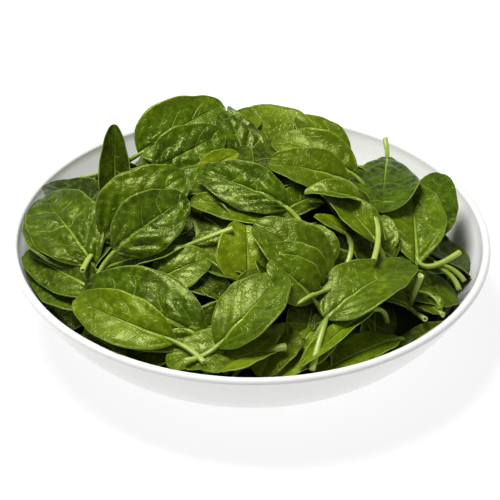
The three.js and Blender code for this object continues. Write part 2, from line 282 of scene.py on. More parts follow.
def wall_radius(foot, rim, rise):
    return foot + (rim - foot) * np.maximum(rise, 0) ** WALL_POWER


def wall_points(foot, rim, low):
    # The rings are closest low down, where the wall bends most.
    rises = [(step / WALL_STEPS) ** 2 for step in range(WALL_STEPS + 1)]
    return [(wall_radius(foot, rim, rise), low + (WALL_TOP - low) * rise) for rise in rises]


def lip_points():
    turns = [math.pi * step / LIP_STEPS for step in range(1, LIP_STEPS)]
    middle = RIM_RADIUS - LIP_RADIUS
    return [(middle + LIP_RADIUS * math.cos(a), WALL_TOP + LIP_RADIUS * math.sin(a)) for a in turns]


outside = wall_points(FOOT_RADIUS, RIM_RADIUS, 0)
inside = wall_points(INNER_FLOOR_RADIUS, INNER_RIM, FLOOR_THICKNESS)[::-1]
section = FOOT_RING + outside + lip_points() + inside
print("a section of", len(section), "points")

# %% [markdown]
# A bowl could be spun from that section. Here a disc is added under the foot and its edge
# is drawn out ring by ring, up the outside, over the lip and down the inside, as a potter
# pulls up a wall. It shows how the wall gets its thickness, and leaves no seam to close.
# One face closes the last ring, and that is the floor of the bowl.

# %% Draw the bowl out
BOWL_SIDES = 144
SMOOTH_BELOW = 35


def deselect():
    bpy.ops.object.select_all(action="DESELECT")


def drawn_out(name, profile, sides):
    """A disc whose edge is drawn through each radius and height of the profile, then closed."""
    deselect()
    radius, height = profile[0]
    place = (0, 0, height * MM)
    bpy.ops.mesh.primitive_circle_add(
        vertices=sides, radius=radius * MM, fill_type="NGON", location=place
    )
    piece = bpy.context.object
    piece.name = name
    bpy.ops.object.mode_set(mode="EDIT")
    bpy.ops.mesh.select_mode(type="EDGE")
    bpy.ops.mesh.select_all(action="SELECT")
    for (old_radius, old_height), (new_radius, new_height) in zip(profile, profile[1:]):
        rise = {"value": (0, 0, (new_height - old_height) * MM)}
        bpy.ops.mesh.extrude_edges_move(TRANSFORM_OT_translate=rise)
        grow = new_radius / old_radius
        bpy.ops.transform.resize(value=(grow, grow, 1), center_override=(0, 0, 0))
    bpy.ops.mesh.edge_face_add()
    bpy.ops.mesh.select_all(action="SELECT")
    bpy.ops.mesh.normals_make_consistent(inside=False)
    bpy.ops.object.mode_set(mode="OBJECT")
    bpy.ops.object.transform_apply(location=True, rotation=True, scale=True)
    bpy.ops.object.shade_smooth_by_angle(angle=math.radians(SMOOTH_BELOW))
    return piece


bowl = drawn_out("glazed_bowl", section, BOWL_SIDES)
print("bowl of", len(bowl.data.polygons), "faces")

# %% [markdown]
# White glaze is a coloured body under a glassy skin.
# One even white would look like plastic. Real glaze pools and thins over the width of
# a hand, so its white and its gloss drift, and a faint ripple breaks up the reflections.
# The foot ring is wiped bare before firing, so it shows pale matt clay.

# %% Glaze
GLAZE = (0.78, 0.78, 0.77, 1)
GLAZE_WARM = (0.74, 0.74, 0.72, 1)
CLAY = (0.52, 0.47, 0.39, 1)
BARE_BELOW = 0.2
GLAZED_ABOVE = 0.6
GLAZE_RIPPLE = 0.12


def glaze_finish():
    finish = Finish("white_glaze", IOR=1.5, Coat_Weight=0.35, Coat_Roughness=0.08)
    drift = finish.noise(9)
    height = finish.node("ShaderNodeSeparateXYZ", {}, {0: finish.places}, "Z")
    bare = 1 - finish.step(height, BARE_BELOW * MM, GLAZED_ABOVE * MM)
    glazed = finish.blend(drift, GLAZE, GLAZE_WARM)
    finish.feed("Base Color", finish.blend(bare, glazed, CLAY))
    finish.feed("Roughness", drift * 0.14 + 0.13 + bare * 0.5)
    finish.bump(finish.noise(70) + finish.noise(600) * bare, GLAZE_RIPPLE * MM)
    return finish


give(bowl, glaze_finish())
print("bowl finished with", bowl.data.materials[0].name)

# %% [markdown]
# The heap is highest behind the middle and falls to the rim, with three low places
# where the wall shows. It could be sculpted, but a rule that gives its height anywhere
# is easier to lay leaves by. Random draws come from a short seeded rule, so that every
# run gives the same heap.

# %% Form of the heap
HEAP_TOP = 92
HEAP_FALL = 45
HEAP_MIDDLE_Y = 18
HEAP_SIDE_REACH = 120
HEAP_FRONT_REACH = 130
HEAP_BACK_REACH = 100
LOW_PLACES = [(-92, 74, 30, 40), (118, 26, 24, 30), (72, 90, 36, 44)]
SEED = 4711


def seeded_draws(seed):
    size = 2147483647
    state = seed
    while True:
        state = state * 16807 % size
        yield state / size


def heap_reach(x, y):
    along = np.where(y > HEAP_MIDDLE_Y, HEAP_BACK_REACH, HEAP_FRONT_REACH)
    return (x / HEAP_SIDE_REACH) ** 2 + ((y - HEAP_MIDDLE_Y) / along) ** 2


def heap_top(x, y):
    height = HEAP_TOP - HEAP_FALL * heap_reach(x, y)
    for low_x, low_y, depth, reach in LOW_PLACES:
        away = ((x - low_x) ** 2 + (y - low_y) ** 2) / reach**2
        height = height - depth * np.exp(-away)
    return height


print("heap", round(float(heap_top(0, HEAP_MIDDLE_Y))), "mm high behind its middle")

# %% [markdown]
# Leaves, stalks and the middle of the heap are all shaped by moving the points of a mesh.
# It could be done point by point, but reading them all as one table of numbers, working on
# the table and writing it back is much quicker.

# %% Read and move points
def places_of(mesh):
    values = np.empty(3 * len(mesh.vertices))
    mesh.vertices.foreach_get("co", values)
    return values.reshape(-1, 3)


def move_to(mesh, places):
    mesh.vertices.foreach_set("co", np.ascontiguousarray(places).ravel())
    mesh.update()


print("the bowl's first point is at", places_of(bowl.data)[0].round(3))

# %% [markdown]
# The leaves rest on each other down to the bowl's floor, where nobody sees them, so
# hundreds more of them would cost much and show nothing.
# The packed middle is one low dome: a ball pressed flat below and to the heap's form above.
# It is painted dark, as painted shade, and crumpled, and shows only as depth between the leaves.

# %% Core
CORE_SEGMENTS = 96
CORE_RINGS = 48
CORE_DEPTH = 14
CORE_EDGE_FALL = 10
CORE_ROOM = 2.5
CORE_EDGE = 1
CRUMPLE = 1.6
DOME_FROM = 0.01
TINY = 1e-6


def inner_radius(z):
    rise = (z - FLOOR_THICKNESS) / (WALL_TOP - FLOOR_THICKNESS)
    return wall_radius(INNER_FLOOR_RADIUS, INNER_RIM, rise)


def crumple(x, y):
    """Two crossed waves that bend each other, so that no crest runs straight."""
    return CRUMPLE * np.sin(x / 5.1 + 2 * np.sin(y / 9)) * np.sin(y / 6.3 + np.sin(x / 8))


def shape_core():
    deselect()
    bpy.ops.mesh.primitive_uv_sphere_add(segments=CORE_SEGMENTS, ring_count=CORE_RINGS, radius=1)
    core = bpy.context.object
    core.name = "heap_core"
    ball = places_of(core.data)
    x, y = ball[:, 0] * RIM_RADIUS, ball[:, 1] * RIM_RADIUS
    top = heap_top(x, y) - CORE_DEPTH - CORE_EDGE_FALL * heap_reach(x, y) ** 3
    floor_z = FLOOR_THICKNESS + CORE_ROOM
    dome = np.maximum(top + crumple(x, y), floor_z + CORE_EDGE)
    z = np.where(ball[:, 2] > DOME_FROM, dome, floor_z)
    limit = inner_radius(np.minimum(z, WALL_TOP)) - CORE_ROOM
    shrink = np.minimum(1, limit / np.maximum(np.hypot(x, y), TINY))
    move_to(core.data, np.stack([x * shrink, y * shrink, z], 1) * MM)
    bpy.ops.object.shade_smooth()
    return core


core = shape_core()
print("core of", len(core.data.polygons), "faces")

# %% [markdown]
# A spinach leaf is a stiff midrib with a soft blade on both sides.
# Its place is told by where the blade starts and ends, its width, and how it rolls.
# The blade arches along the midrib, cups across it and waves at its edge.
# Each leaf below is given in one line: kind, brightness and yellowness, then its
# base, tip, width, where the belly is, roll, arch, cup and sway, and last the cut end of its
# stalk, where that shows. Strewing them at random is quicker, but never gives this heap.

# %% Leaves that show
# The brightness in each line is partly the leaf's own tone and partly painted light and shade.
SHOWN_LEAVES = [
    # Back and top
    ("smooth", 0.5, 0.1, [-61, 30, 80, -16, 60, 95, 35, 0.35, 32, 3, 4, 0, -95, 50, 52]),
    ("smooth", 0.4, 0.2, [-56, 20, 68, -30, 48, 87, 26, 0.42, 25, 3, 3, 0]),
    ("smooth", 0.52, 0.3, [50, 26, 66, 27, 62, 87, 30, 0.5, 10, 4, 3, 0]),
    ("smooth", 0.56, 0.3, [20, 22, 62, -1, 64, 91, 56, 0.52, 0, 4, 4, 0]),
    ("puckered", 0.36, 0.2, [0, 16, 74, -15, 50, 96, 26, 0.45, 0, 3, 3, 0]),
    ("puckered", 0.45, 0.0, [-52, 10, 80, -15, 32, 93, 30, 0.42, 35, 3, 3, 0]),
    ("smooth", 0.55, 0.3, [57, 10, 80, 12, 34, 88, 28, 0.42, -25, 4, 3, 0]),
    ("smooth", 0.75, 0.8, [-28, -2, 86, -7, 8, 95, 13, 0.42, 25, 2, 2, 0]),
    ("smooth", 0.5, 0.3, [-20, -12, 80, -34, 2, 84, 20, 0.42, -20, 2, 2, 0]),
    ("smooth", 0.5, 0.3, [52, -2, 84, 9, 2, 93, 25, 0.42, -25, 3, 3, 0]),
    ("smooth", 0.52, 0.3, [23, -36, 80, -32, -22, 83, 20, 0.42, -20, 3, 3, 0, 33, -42, 80]),
    ("puckered", 0.42, 0.0, [20, -30, 85, -28, -6, 92, 26, 0.42, -30, 4, 3, 0, 29, -44, 76]),
    # Left side
    ("smooth", 0.12, 0.1, [-78, 4, 56, -114, 46, 50, 32, 0.42, 0, 2, 3, 0]),
    ("smooth", 0.3, 0.2, [-74, 16, 52, -75, 38, 94, 17, 0.38, 0, 0, 5, 0]),
    ("puckered", 0.52, 0.2, [-77, -34, 66, -34, -10, 92, 40, 0.42, 30, 6, 4, 0, -85, -62, 67]),
    ("puckered", 0.42, 0.2, [-82, -46, 56, -117, 10, 56, 39, 0.45, -12, 4, 3, 0]),
    ("puckered", 0.46, 0.2, [-80, -48, 59, -113, 13, 62, 39, 0.45, -20, 5, 4, 0]),
    ("puckered", 0.42, 0.1, [-70, -53, 72, -33, -30, 91, 32, 0.45, 35, 4, 3, 0, -79, -57, 57]),
    ("smooth", 0.5, 0.2, [-50, -68, 62, -20, -58, 73, 26, 0.45, 20, 3, 2, 0]),
    ("smooth", 0.5, 0.4, [-32, -52, 76, -71, -61, 62, 14, 0.42, 20, 0, 2, 0, -9, -48, 84]),
    ("smooth", 0.38, 0.2, [-76, -68, 49, -120, -30, 46, 26, 0.42, -30, 3, 3, 0]),
    ("smooth", 0.35, 0.2, [-74, -66, 54, -120, -24, 50, 24, 0.42, -30, 3, 3, 0]),
    # Right side
    ("smooth", 0.42, 0.0, [77, 58, 64, 69, -16, 74, 37, 0.66, 0, 4, 3, 0, 76, 70, 68]),
    ("smooth", 0.46, 0.0, [91, -20, 54, 105, 36, 66, 28, 0.45, 10, 2, 2, 0]),
    ("smooth", 0.5, 0.2, [87, -42, 59, 87, 16, 71, 33, 0.47, 0, 3, 3, 0, 110, -32, 60]),
    ("smooth", 0.4, 0.2, [81, -38, 54, 86, 2, 70, 24, 0.45, 0, 3, 3, 0]),
    ("smooth", 0.5, 0.3, [58, -22, 85, 28, -20, 88, 15, 0.42, 0, 3, 3, 0, 63, -60, 74]),
    ("smooth", 0.56, 0.3, [66, -42, 72, 40, -18, 86, 20, 0.42, 0, 3, 3, 0]),
    ("smooth", 0.5, 0.3, [72, -38, 62, 68, -16, 72, 14, 0.45, 0, 2, 2, 0]),
    ("smooth", 0.5, 0.4, [83, -66, 48, 68, -66, 54, 12, 0.42, 0, 2, 2, 0, 89, -79, 51]),
    ("smooth", 0.42, 0.3, [98, -70, 48, 86, -62, 48, 14, 0.42, 0, 2, 2, 0, 99, -71, 48]),
    ("smooth", 0.32, 0.2, [78, -54, 50, 109, -50, 42, 28, 0.42, 0, 2, 2, 0]),
    # Middle
    ("smooth", 0.6, 0.5, [50, -38, 75, 33, -32, 82, 9, 0.42, 0, 1, 1, 0, 48, -55, 63]),
    ("smooth", 0.5, 0.3, [40, -58, 68, 33, -38, 80, 16, 0.42, 0, 2, 2, 0]),
    ("smooth", 0.66, 0.7, [0, -70, 62, -3, -38, 83, 32, 0.42, 0, 4, 3, 0]),
    ("smooth", 0.52, 0.2, [41, -68, 66, 2, -48, 87, 32, 0.42, -22, 4, 3, 0]),
    ("smooth", 0.48, 0.2, [36, -74, 66, 14, -60, 82, 23, 0.42, -30, 3, 2, 0]),
    ("smooth", 0.52, 0.2, [33, -82, 64, 10, -70, 80, 24, 0.42, -30, 3, 2, 0]),
    ("smooth", 0.42, 0.3, [-4, -82, 65, 4, -70, 74, 10, 0.42, 0, 2, 2, 0]),
    ("smooth", 0.34, 0.6, [-5, -60, 68, -28, -44, 76, 20, 0.42, -20, 2, 2, 0]),
    ("smooth", 0.42, 0.4, [-23, -68, 63, -9, -79, 59, 16, 0.42, 0, 2, 2, 0]),
    ("smooth", 0.42, 0.4, [-22, -60, 68, -4, -68, 66, 14, 0.42, 0, 2, 2, 0]),
    # Front
    ("puckered", 0.5, 0.0, [-20, -101, 52, -85, -60, 56, 42, 0.45, -32, 5, 3, 0]),
    ("smooth", 0.66, 0.3, [-36, -104, 54, -88, -71, 56, 28, 0.45, -28, 5, 3, -3, -22, -118, 52]),
    ("smooth", 0.45, 0.3, [-62, -102, 42, -84, -84, 44, 20, 0.42, -20, 2, 2, 0]),
    ("smooth", 0.52, 0.2, [-16, -109, 54, 16, -75, 75, 34, 0.45, 0, 4, 3, 3, -31, -118, 53]),
    ("smooth", 0.5, 0.3, [-2, -108, 50, -41, -111, 47, 26, 0.45, -15, 3, 2, 0]),
    ("smooth", 0.7, 0.7, [37, -84, 52, 14, -118, 44, 34, 0.42, 0, 2, 2, 0]),
    ("smooth", 0.45, 0.7, [19, -90, 54, 6, -119, 44, 26, 0.42, 0, 2, 2, 0]),
    ("smooth", 0.8, 0.6, [-20, -117, 46, 14, -109, 54, 22, 0.42, 0, 2, 3, 0]),
    ("smooth", 0.56, 0.2, [38, -92, 60, 84, -52, 66, 36, 0.38, 0, 5, 3, 0]),
    ("smooth", 0.8, 0.3, [63, -82, 60, 25, -119, 51, 11, 0.45, 0, 2, 2, 0]),
    ("smooth", 0.5, 0.3, [76, -88, 46, 34, -115, 43, 20, 0.42, 0, 2, 2, 0]),
    ("smooth", 0.15, 0.3, [72, -97, 40, 104, -74, 44, 14, 0.42, 0, 2, 2, 0]),
]
print(len(SHOWN_LEAVES), "leaves placed by hand")

# %% [markdown]
# The leaves that nobody sees well needn't be placed one by one. Each of them lies flat on
# the slope, so an angle round the bowl, a distance out, a heading and a length tell it.
# Where the slope is hollow, the leaf sinks until it lies on the heap, and it rolls as far
# as the slope falls away to its side. The line that comes out reads like one laid by hand.

# %% How a leaf lies on the slope
LAID_WIDTH_LEAST = 0.5
LAID_WIDTH_SPREAD = 0.2
LAID_BELLY = 0.43
LAID_ARCH = 4
LAID_CUP = 3
LAID_BASE_DROP = 1
LAID_TIP_LIFT = 3


def laying_row(place, draw, top):
    angle, out, heading, length = place
    turn = math.radians(angle)
    way = math.radians(angle + heading)
    x, y = out * math.cos(turn), out * math.sin(turn)
    ahead = (length / 2 * math.cos(way), length / 2 * math.sin(way))
    base = (x - ahead[0], y - ahead[1])
    tip = (x + ahead[0], y + ahead[1])
    slope = float(top(x + math.sin(way), y - math.cos(way)) - top(x, y))
    width = length * (LAID_WIDTH_LEAST + LAID_WIDTH_SPREAD * next(draw))
    lift = LAID_TIP_LIFT * next(draw)
    sink = max(float(top(*base) + top(*tip)) / 2 - float(top(x, y)), 0)
    base_z = float(top(*base)) - LAID_BASE_DROP - sink
    tip_z = float(top(*tip)) + lift - sink
    roll_angle = -math.degrees(math.atan(slope))
    return [*base, base_z, *tip, tip_z, width, LAID_BELLY, roll_angle, LAID_ARCH, LAID_CUP, 0]


trial = laying_row((90, 80, 0, 50), seeded_draws(SEED), heap_top)
print("a leaf on the far slope rises from", round(trial[2]), "to", round(trial[5]), "mm")

# %% [markdown]
# The far slope doesn't show from the front, but the bowl can be turned.
# Ten leaves lie there, each a little across its neighbours, with no two headings alike.

# %% Leaves of the far slope
FAR_LEAVES = [
    (48, 98, 80, 46),
    (64, 84, -70, 44),
    (78, 104, 70, 50),
    (88, 78, -10, 54),
    (94, 104, -110, 46),
    (104, 80, 100, 50),
    (112, 104, 10, 48),
    (122, 74, -50, 48),
    (100, 62, 20, 44),
    (146, 98, -100, 44),
]

draw = seeded_draws(SEED)
far_rows = [laying_row(place, draw, heap_top) for place in FAR_LEAVES]
print(len(far_rows), "far leaves")

# %% [markdown]
# Through the gaps one looks down on more leaves, half in the dark.
# This deeper layer is spread by the turn that the seeds of a sunflower take, which leaves
# no bare stripe and needs no table. It hangs lower where the real heap is hollow.

# %% Leaves of the deep layer
DEEP_LEAVES = 70
DEEP_REACH = 110
DEEP_DROP = 8
DEEP_LENGTH_LEAST = 34
DEEP_LENGTH_SPREAD = 14
DEEP_HOLLOWS = [(72, -80, 16, 16), (-88, -75, 14, 16), (26, -46, 12, 12), (-30, -34, 10, 12)]
SUNFLOWER_TURN = 137.5


def deep_top(x, y):
    height = heap_top(x, y) - DEEP_DROP
    for low_x, low_y, depth, reach in DEEP_HOLLOWS:
        away = ((x - low_x) ** 2 + (y - low_y) ** 2) / reach**2
        height = height - depth * np.exp(-away)
    return height


deep_draw = seeded_draws(SEED + 1)
deep_rows = []
for count in range(DEEP_LEAVES):
    out = DEEP_REACH * math.sqrt((count + 0.5) / DEEP_LEAVES)
    heading = 360 * next(deep_draw)
    length = DEEP_LENGTH_LEAST + DEEP_LENGTH_SPREAD * next(deep_draw)
    place = (SUNFLOWER_TURN * count, out, heading, length)
    deep_rows.append(laying_row(place, deep_draw, deep_top))
print(len(deep_rows), "deep leaves")

# %% [markdown]
# The blade is modelled flat: a square plate, made longer than it is wide and
# cut into a net. Its own width runs from -1 to 1 and its length from 0 to 1,
# so that each copy can be bent to its own leaf. The leaves that show get a fine net,
# and those deep in the heap a coarser one, because only bits of them are seen.

# %% Model the blank blades
BLADE_CUTS = {"shown": (24, 34), "deep": (16, 24)}


def blank_blade(cuts_across, cuts_along):
    deselect()
    bpy.ops.mesh.primitive_grid_add(x_subdivisions=cuts_across, y_subdivisions=cuts_along, size=1)
    blank = bpy.context.object
    blank.name = "blank_blade"
    bpy.ops.object.mode_set(mode="EDIT")
    bpy.ops.mesh.select_all(action="SELECT")
    bpy.ops.transform.translate(value=(0, 0.5, 0))
    bpy.ops.transform.resize(value=(2, 1, 1), center_override=(0, 0, 0))
    bpy.ops.object.mode_set(mode="OBJECT")
    return blank


blades = {layer: blank_blade(*cuts) for layer, cuts in BLADE_CUTS.items()}
print({layer: len(blade.data.polygons) for layer, blade in blades.items()}, "faces")

# %% [markdown]
# A leaf lies along the line from its base to its tip, rolled about it. Its outline is an
# egg, pointed towards the stalk and round at the tip, and one sine raised to a power that
# changes along the leaf gives it. It could be traced from a real leaf, but then every leaf
# would be that one. A leaf that would cross the bowl's wall or floor is pressed against it,
# as a real one is.

# %% Axes, outline and room of a leaf
END_WIDTH = 0.8
BASE_ROUNDING = 0.9
TIP_ROUNDING = 0.5
LEAF_REACH = 129


def unit(vectors):
    return vectors / np.linalg.norm(vectors, axis=-1, keepdims=True)


def dot(first, second):
    return (first * second).sum(-1, keepdims=True)


def leaf_axes(base, tip, roll_angle):
    along = unit(tip - base)
    heading = math.atan2(along[1], along[0])
    flat_side = np.array([math.sin(heading), -math.cos(heading), 0])
    flat_face = np.cross(flat_side, along)
    turn = math.radians(roll_angle)
    side = flat_side * math.cos(turn) - flat_face * math.sin(turn)
    face = flat_face * math.cos(turn) + flat_side * math.sin(turn)
    return along, side, face


def leaf_outline(share, belly):
    skewed = share ** (math.log(0.5) / math.log(belly))
    rounding = BASE_ROUNDING + (TIP_ROUNDING - BASE_ROUNDING) * share
    return np.maximum(np.sin(math.pi * skewed), 0) ** rounding


def keep_in_bowl(points, room):
    height = np.maximum(points[:, 2], FLOOR_THICKNESS + room)
    out = np.hypot(points[:, 0], points[:, 1])
    wall = inner_radius(np.minimum(height, WALL_TOP)) - room
    limit = np.where(height < BOWL_HEIGHT + room, wall, LEAF_REACH)
    shrink = np.minimum(1, limit / np.maximum(out, TINY))
    return np.stack([points[:, 0] * shrink, points[:, 1] * shrink, height], 1)


widths = [round(float(leaf_outline(share, 0.42)), 2) for share in (0.1, 0.42, 0.9)]
print("near its base, belly and tip a blade has", widths, "of its width")

# %% [markdown]
# Bending a blade follows the leaf's growth: the midrib first, then the outline to both
# sides, then the cup and the waves of the edge. Armature bones or a curve modifier could
# bend it as well, but a hundred leaves would need a hundred of them.
# The same form gives the stalk its start, so that it always meets the blade.

# %% The form of one leaf
WAVE_SHARE = 0.022
WAVES = 1.5
LEAF_ROOM = 1.2


class Leaf:
    """The form of one leaf, in millimetres."""

    def __init__(self, row, draw):
        self.base, self.tip = np.array(row[0:3], float), np.array(row[3:6], float)
        self.width, self.belly, roll_angle, self.arch, self.cup, self.sway = row[6:12]
        self.end = np.array(row[12:15], float) if len(row) > 12 else None
        self.along, self.side, self.face = leaf_axes(self.base, self.tip, roll_angle)
        self.length = float(np.linalg.norm(self.tip - self.base))
        self.phase = 2 * math.pi * next(draw)
        self.shift = 2 * math.pi * next(draw)

    def bend(self, share):
        bow = 4 * (1 - 2 * share) / self.length
        return unit(self.along + self.face * (self.arch * bow) + self.side * (self.sway * bow))

    def half_width(self, share):
        return self.width / 2 * leaf_outline(share, self.belly) + END_WIDTH / 2

    def at(self, share, across, relief=0.0, fringe=0.0):
        share, across = np.atleast_1d(share)[:, None], np.atleast_1d(across)[:, None]
        bow = 4 * share * (1 - share)
        along = self.bend(share)
        side = unit(self.side - along * dot(self.side, along))
        face = np.cross(side, along)
        outline = leaf_outline(share, self.belly)
        wave_phase = np.where(across > 0, self.phase, self.shift)
        wave = np.sin(2 * math.pi * WAVES * share + wave_phase) * WAVE_SHARE * self.length
        lift = (self.cup * across**2 + wave * np.abs(across) ** 3) * outline + relief
        points = self.base + (self.tip - self.base) * share
        points = points + self.face * (self.arch * bow) + self.side * (self.sway * bow)
        points = points + side * ((self.half_width(share) + fringe) * across) + face * lift
        return keep_in_bowl(points, LEAF_ROOM)


probe = Leaf(SHOWN_LEAVES[0][3], seeded_draws(SEED))
print("the first leaf is", round(probe.length), "mm long and", probe.width, "mm wide")

# %% [markdown]
# Spinach is puckered: the blade between the side veins grows faster than the veins,
# so it domes up between them. A smooth leaf has the same plan, only flatter.
# A noise texture gives lumps anywhere, but here each point gets its distance to the midrib
# and its place between two side veins, so that the domes sit where the veins leave room.
# The same two numbers colour the veins later.

# %% Veins and puckers
VEIN_PAIRS = 5
VEIN_SWEEP = 0.36
VEIN_STAGGER = 0.35
STAGGER_FROM = 3
SLOW_WANDER = 0.26
QUICK_WANDER = 0.2
CELLS_ACROSS = 1.6
CELL_WANDER = 0.3
DOME_ROUNDING = 0.6
DOME_LEAST = 0.45


def vein_place(share, across, rib, marks):
    wander = SLOW_WANDER * np.sin(3 * across + marks[0])
    wander = wander + QUICK_WANDER * np.sin(7 * share + 4 * across + marks[1])
    stagger = VEIN_STAGGER * np.where(across > 0, np.clip(rib / STAGGER_FROM, 0, 1), 0)
    sweep = VEIN_SWEEP * (0.6 * np.abs(across) + 0.4 * across**2)
    return VEIN_PAIRS * (share - sweep) + wander + stagger + VEIN_PAIRS


def pucker(share, across, place, marks):
    cell = CELLS_ACROSS * np.abs(across) + CELL_WANDER * np.sin(6 * share + marks[2])
    dome = np.abs(np.sin(math.pi * place)) ** DOME_ROUNDING
    across_dome = np.abs(np.sin(math.pi * cell)) ** DOME_ROUNDING
    dome = dome * (DOME_LEAST + (1 - DOME_LEAST) * across_dome)
    # What is left of a large sine differs from dome to dome and is the same each run.
    mixed = np.sin(12.99 * np.floor(place) + 78.2 * np.floor(cell) + marks[3]) * 437.6
    size = DOME_LEAST + (1 - DOME_LEAST) * (mixed - np.floor(mixed))
    flat_edge = 1 - np.abs(across) ** 3
    flat_tip = np.clip(9 * share * (1 - share), 0, 1) * (1.3 - share)
    return dome * size * flat_edge * flat_tip


tries = pucker(np.linspace(0.1, 0.9, 9), 0.5, VEIN_PAIRS * np.linspace(0.1, 0.9, 9), [0] * 6)
print("half way out, the domes reach", tries.round(1), "of their full height")

# %% [markdown]
# Now a copy of the blank blade gets its leaf's form, with the domes, the groove over the
# midrib and a finely uneven edge. The net is drawn closer towards base and tip, where the
# outline turns fastest. Each point also keeps its numbers as attributes, which is how
# Blender lets a finish read what the shape knows.

# %% Shape a leaf
RIB_WIDTH = 1.5
RIB_DEPTH = 1.0
RIB_FADE = 0.7
PUCKER_HEIGHT = {"puckered": 4.6, "smooth": 1.5}
FULL_PUCKER_WIDTH = 30
RUFFLE = 0.25
FRINGE = 0.008


def bent_blade(blade, row, kind, draw, mark_draw):
    leaf = Leaf(row, draw)
    piece = bpy.data.objects.new("leaf", blade.data.copy())
    bpy.context.collection.objects.link(piece)
    flat = places_of(piece.data)
    across = flat[:, 0]
    share = (1 - np.cos(math.pi * np.clip(flat[:, 1], 0, 1))) / 2
    marks = [2 * math.pi * next(mark_draw) for _ in range(6)]
    rib = np.abs(across) * leaf.half_width(share)
    place = vein_place(share, across, rib, marks)
    groove = RIB_DEPTH * np.exp(-((rib / RIB_WIDTH) ** 2)) * (1 - RIB_FADE * share)
    small = min(leaf.width / FULL_PUCKER_WIDTH, 1)
    relief = PUCKER_HEIGHT[kind] * small * pucker(share, across, place, marks) - groove
    ruffle = RUFFLE * small * np.sin(31 * share + marks[4]) * np.abs(across) ** 4
    ends = np.clip(8 * share * (1 - share), 0, 1)
    fringe = FRINGE * leaf.width * np.sin(23 * share + marks[5]) * ends * np.abs(across)
    relief = (relief + ruffle * ends)[:, None]
    move_to(piece.data, leaf.at(share, across, relief, fringe[:, None]) * MM)
    return piece, leaf, {"rib": rib, "veins": place, "share": share, "across": np.abs(across)}


def note(piece, values):
    """Keeps one number a point for the finish to read."""
    for name, numbers in values.items():
        layer = piece.data.attributes.new(name, "FLOAT", "POINT")
        layer.data.foreach_set("value", np.broadcast_to(numbers, len(piece.data.vertices)).copy())


print("veins in", VEIN_PAIRS, "pairs a leaf, puckers up to", PUCKER_HEIGHT["puckered"], "mm")

# %% [markdown]
# A stalk is a fleshy tube, hollow where it was cut. A curve with a round bevel makes a
# tube, but no hollow, so it is modelled once, standing: a disc drawn up in steps, its top
# drawn inwards and pushed down for the hollow.

# %% Model the blank stalk
STALK_SIDES = 12
STALK_STEPS = 10
MOUTH_RINGS = [(0.93, 0.004), (0.62, 0.004), (0.5, -0.03), (0.42, -0.08)]


def blank_stalk():
    deselect()
    bpy.ops.mesh.primitive_circle_add(vertices=STALK_SIDES, radius=1, fill_type="NGON")
    blank = bpy.context.object
    blank.name = "blank_stalk"
    bpy.ops.object.mode_set(mode="EDIT")
    bpy.ops.mesh.select_mode(type="EDGE")
    bpy.ops.mesh.select_all(action="SELECT")
    for _ in range(STALK_STEPS):
        bpy.ops.mesh.extrude_edges_move(TRANSFORM_OT_translate={"value": (0, 0, 1 / STALK_STEPS)})
    for shrink, rise in MOUTH_RINGS:
        bpy.ops.mesh.extrude_edges_move(TRANSFORM_OT_translate={"value": (0, 0, rise)})
        bpy.ops.transform.resize(value=(shrink, shrink, 1), center_override=(0, 0, 0))
    bpy.ops.mesh.edge_face_add()
    bpy.ops.mesh.select_all(action="SELECT")
    bpy.ops.mesh.normals_make_consistent(inside=False)
    bpy.ops.object.mode_set(mode="OBJECT")
    return blank


stalk = blank_stalk()
print("blank stalk of", len(stalk.data.polygons), "faces")

# %% [markdown]
# Each copy is bent along its own curve, from inside the blade to the cut. A real stalk is
# thickest at the cut, runs thin into the midrib and has a groove along its upper side.
# Where the cut end doesn't show, a short stub runs down into the heap.

# %% Bend a stalk
STALK_DIAMETER = 3
STALK_START = 0.8
STALK_SWELL = 0.22
POINT_LEAST = 0.4
POINT_GROWTH = 4
GROOVE_DEPTH = 0.28
GROOVE_WIDTH = 0.45
CUT_INSIDE = 0.9
STALK_OVERLAP = 0.12
STALK_BEND = 0.4
STUB_LENGTH = 10
STUB_DROP = 14
STALK_GAP = 0.35


def bent_stalk(start, bend, end, diameter):
    piece = bpy.data.objects.new("stalk", stalk.data.copy())
    bpy.context.collection.objects.link(piece)
    flat = places_of(piece.data)
    share = flat[:, 2:3]
    points = start * (1 - share) ** 2 + bend * 2 * share * (1 - share) + end * share**2
    along = unit((bend - start) * (1 - share) + (end - bend) * share + TINY)
    side = unit(np.cross(along, np.array([0.02, 0.03, 1.0])))
    top = np.cross(side, along)
    radius = diameter / 2 * (STALK_START + STALK_SWELL * share)
    radius = radius * np.clip(POINT_LEAST + POINT_GROWTH * share, 0, 1)
    hollow = GROOVE_DEPTH * np.exp(-((flat[:, 0:1] / GROOVE_WIDTH) ** 2))
    upwards = flat[:, 1:2] * (1 - hollow * (flat[:, 1:2] > 0))
    points = points + side * (flat[:, 0:1] * radius) + top * (upwards * radius)
    move_to(piece.data, points * MM)
    inner = np.hypot(flat[:, 0], flat[:, 1]) < CUT_INSIDE
    note(piece, {"cut": inner.astype(float), "share": flat[:, 2]})
    return piece


def leaf_stalk(leaf):
    room = STALK_DIAMETER / 2 + STALK_GAP
    first = leaf.bend(np.array([[0.0]]))[0]
    end = leaf.end
    if end is None:
        end = leaf.base - first * STUB_LENGTH - np.array([0, 0, STUB_DROP])
    bend = leaf.base - first * STALK_BEND * np.linalg.norm(end - leaf.base)
    start = leaf.at(STALK_OVERLAP, 0.0)[0]
    start, bend, end = keep_in_bowl(np.array([start, bend, end]), room)
    return bent_stalk(start, bend, end, STALK_DIAMETER)


print("a stalk is", STALK_DIAMETER, "mm thick, its stub", STUB_LENGTH, "mm long")
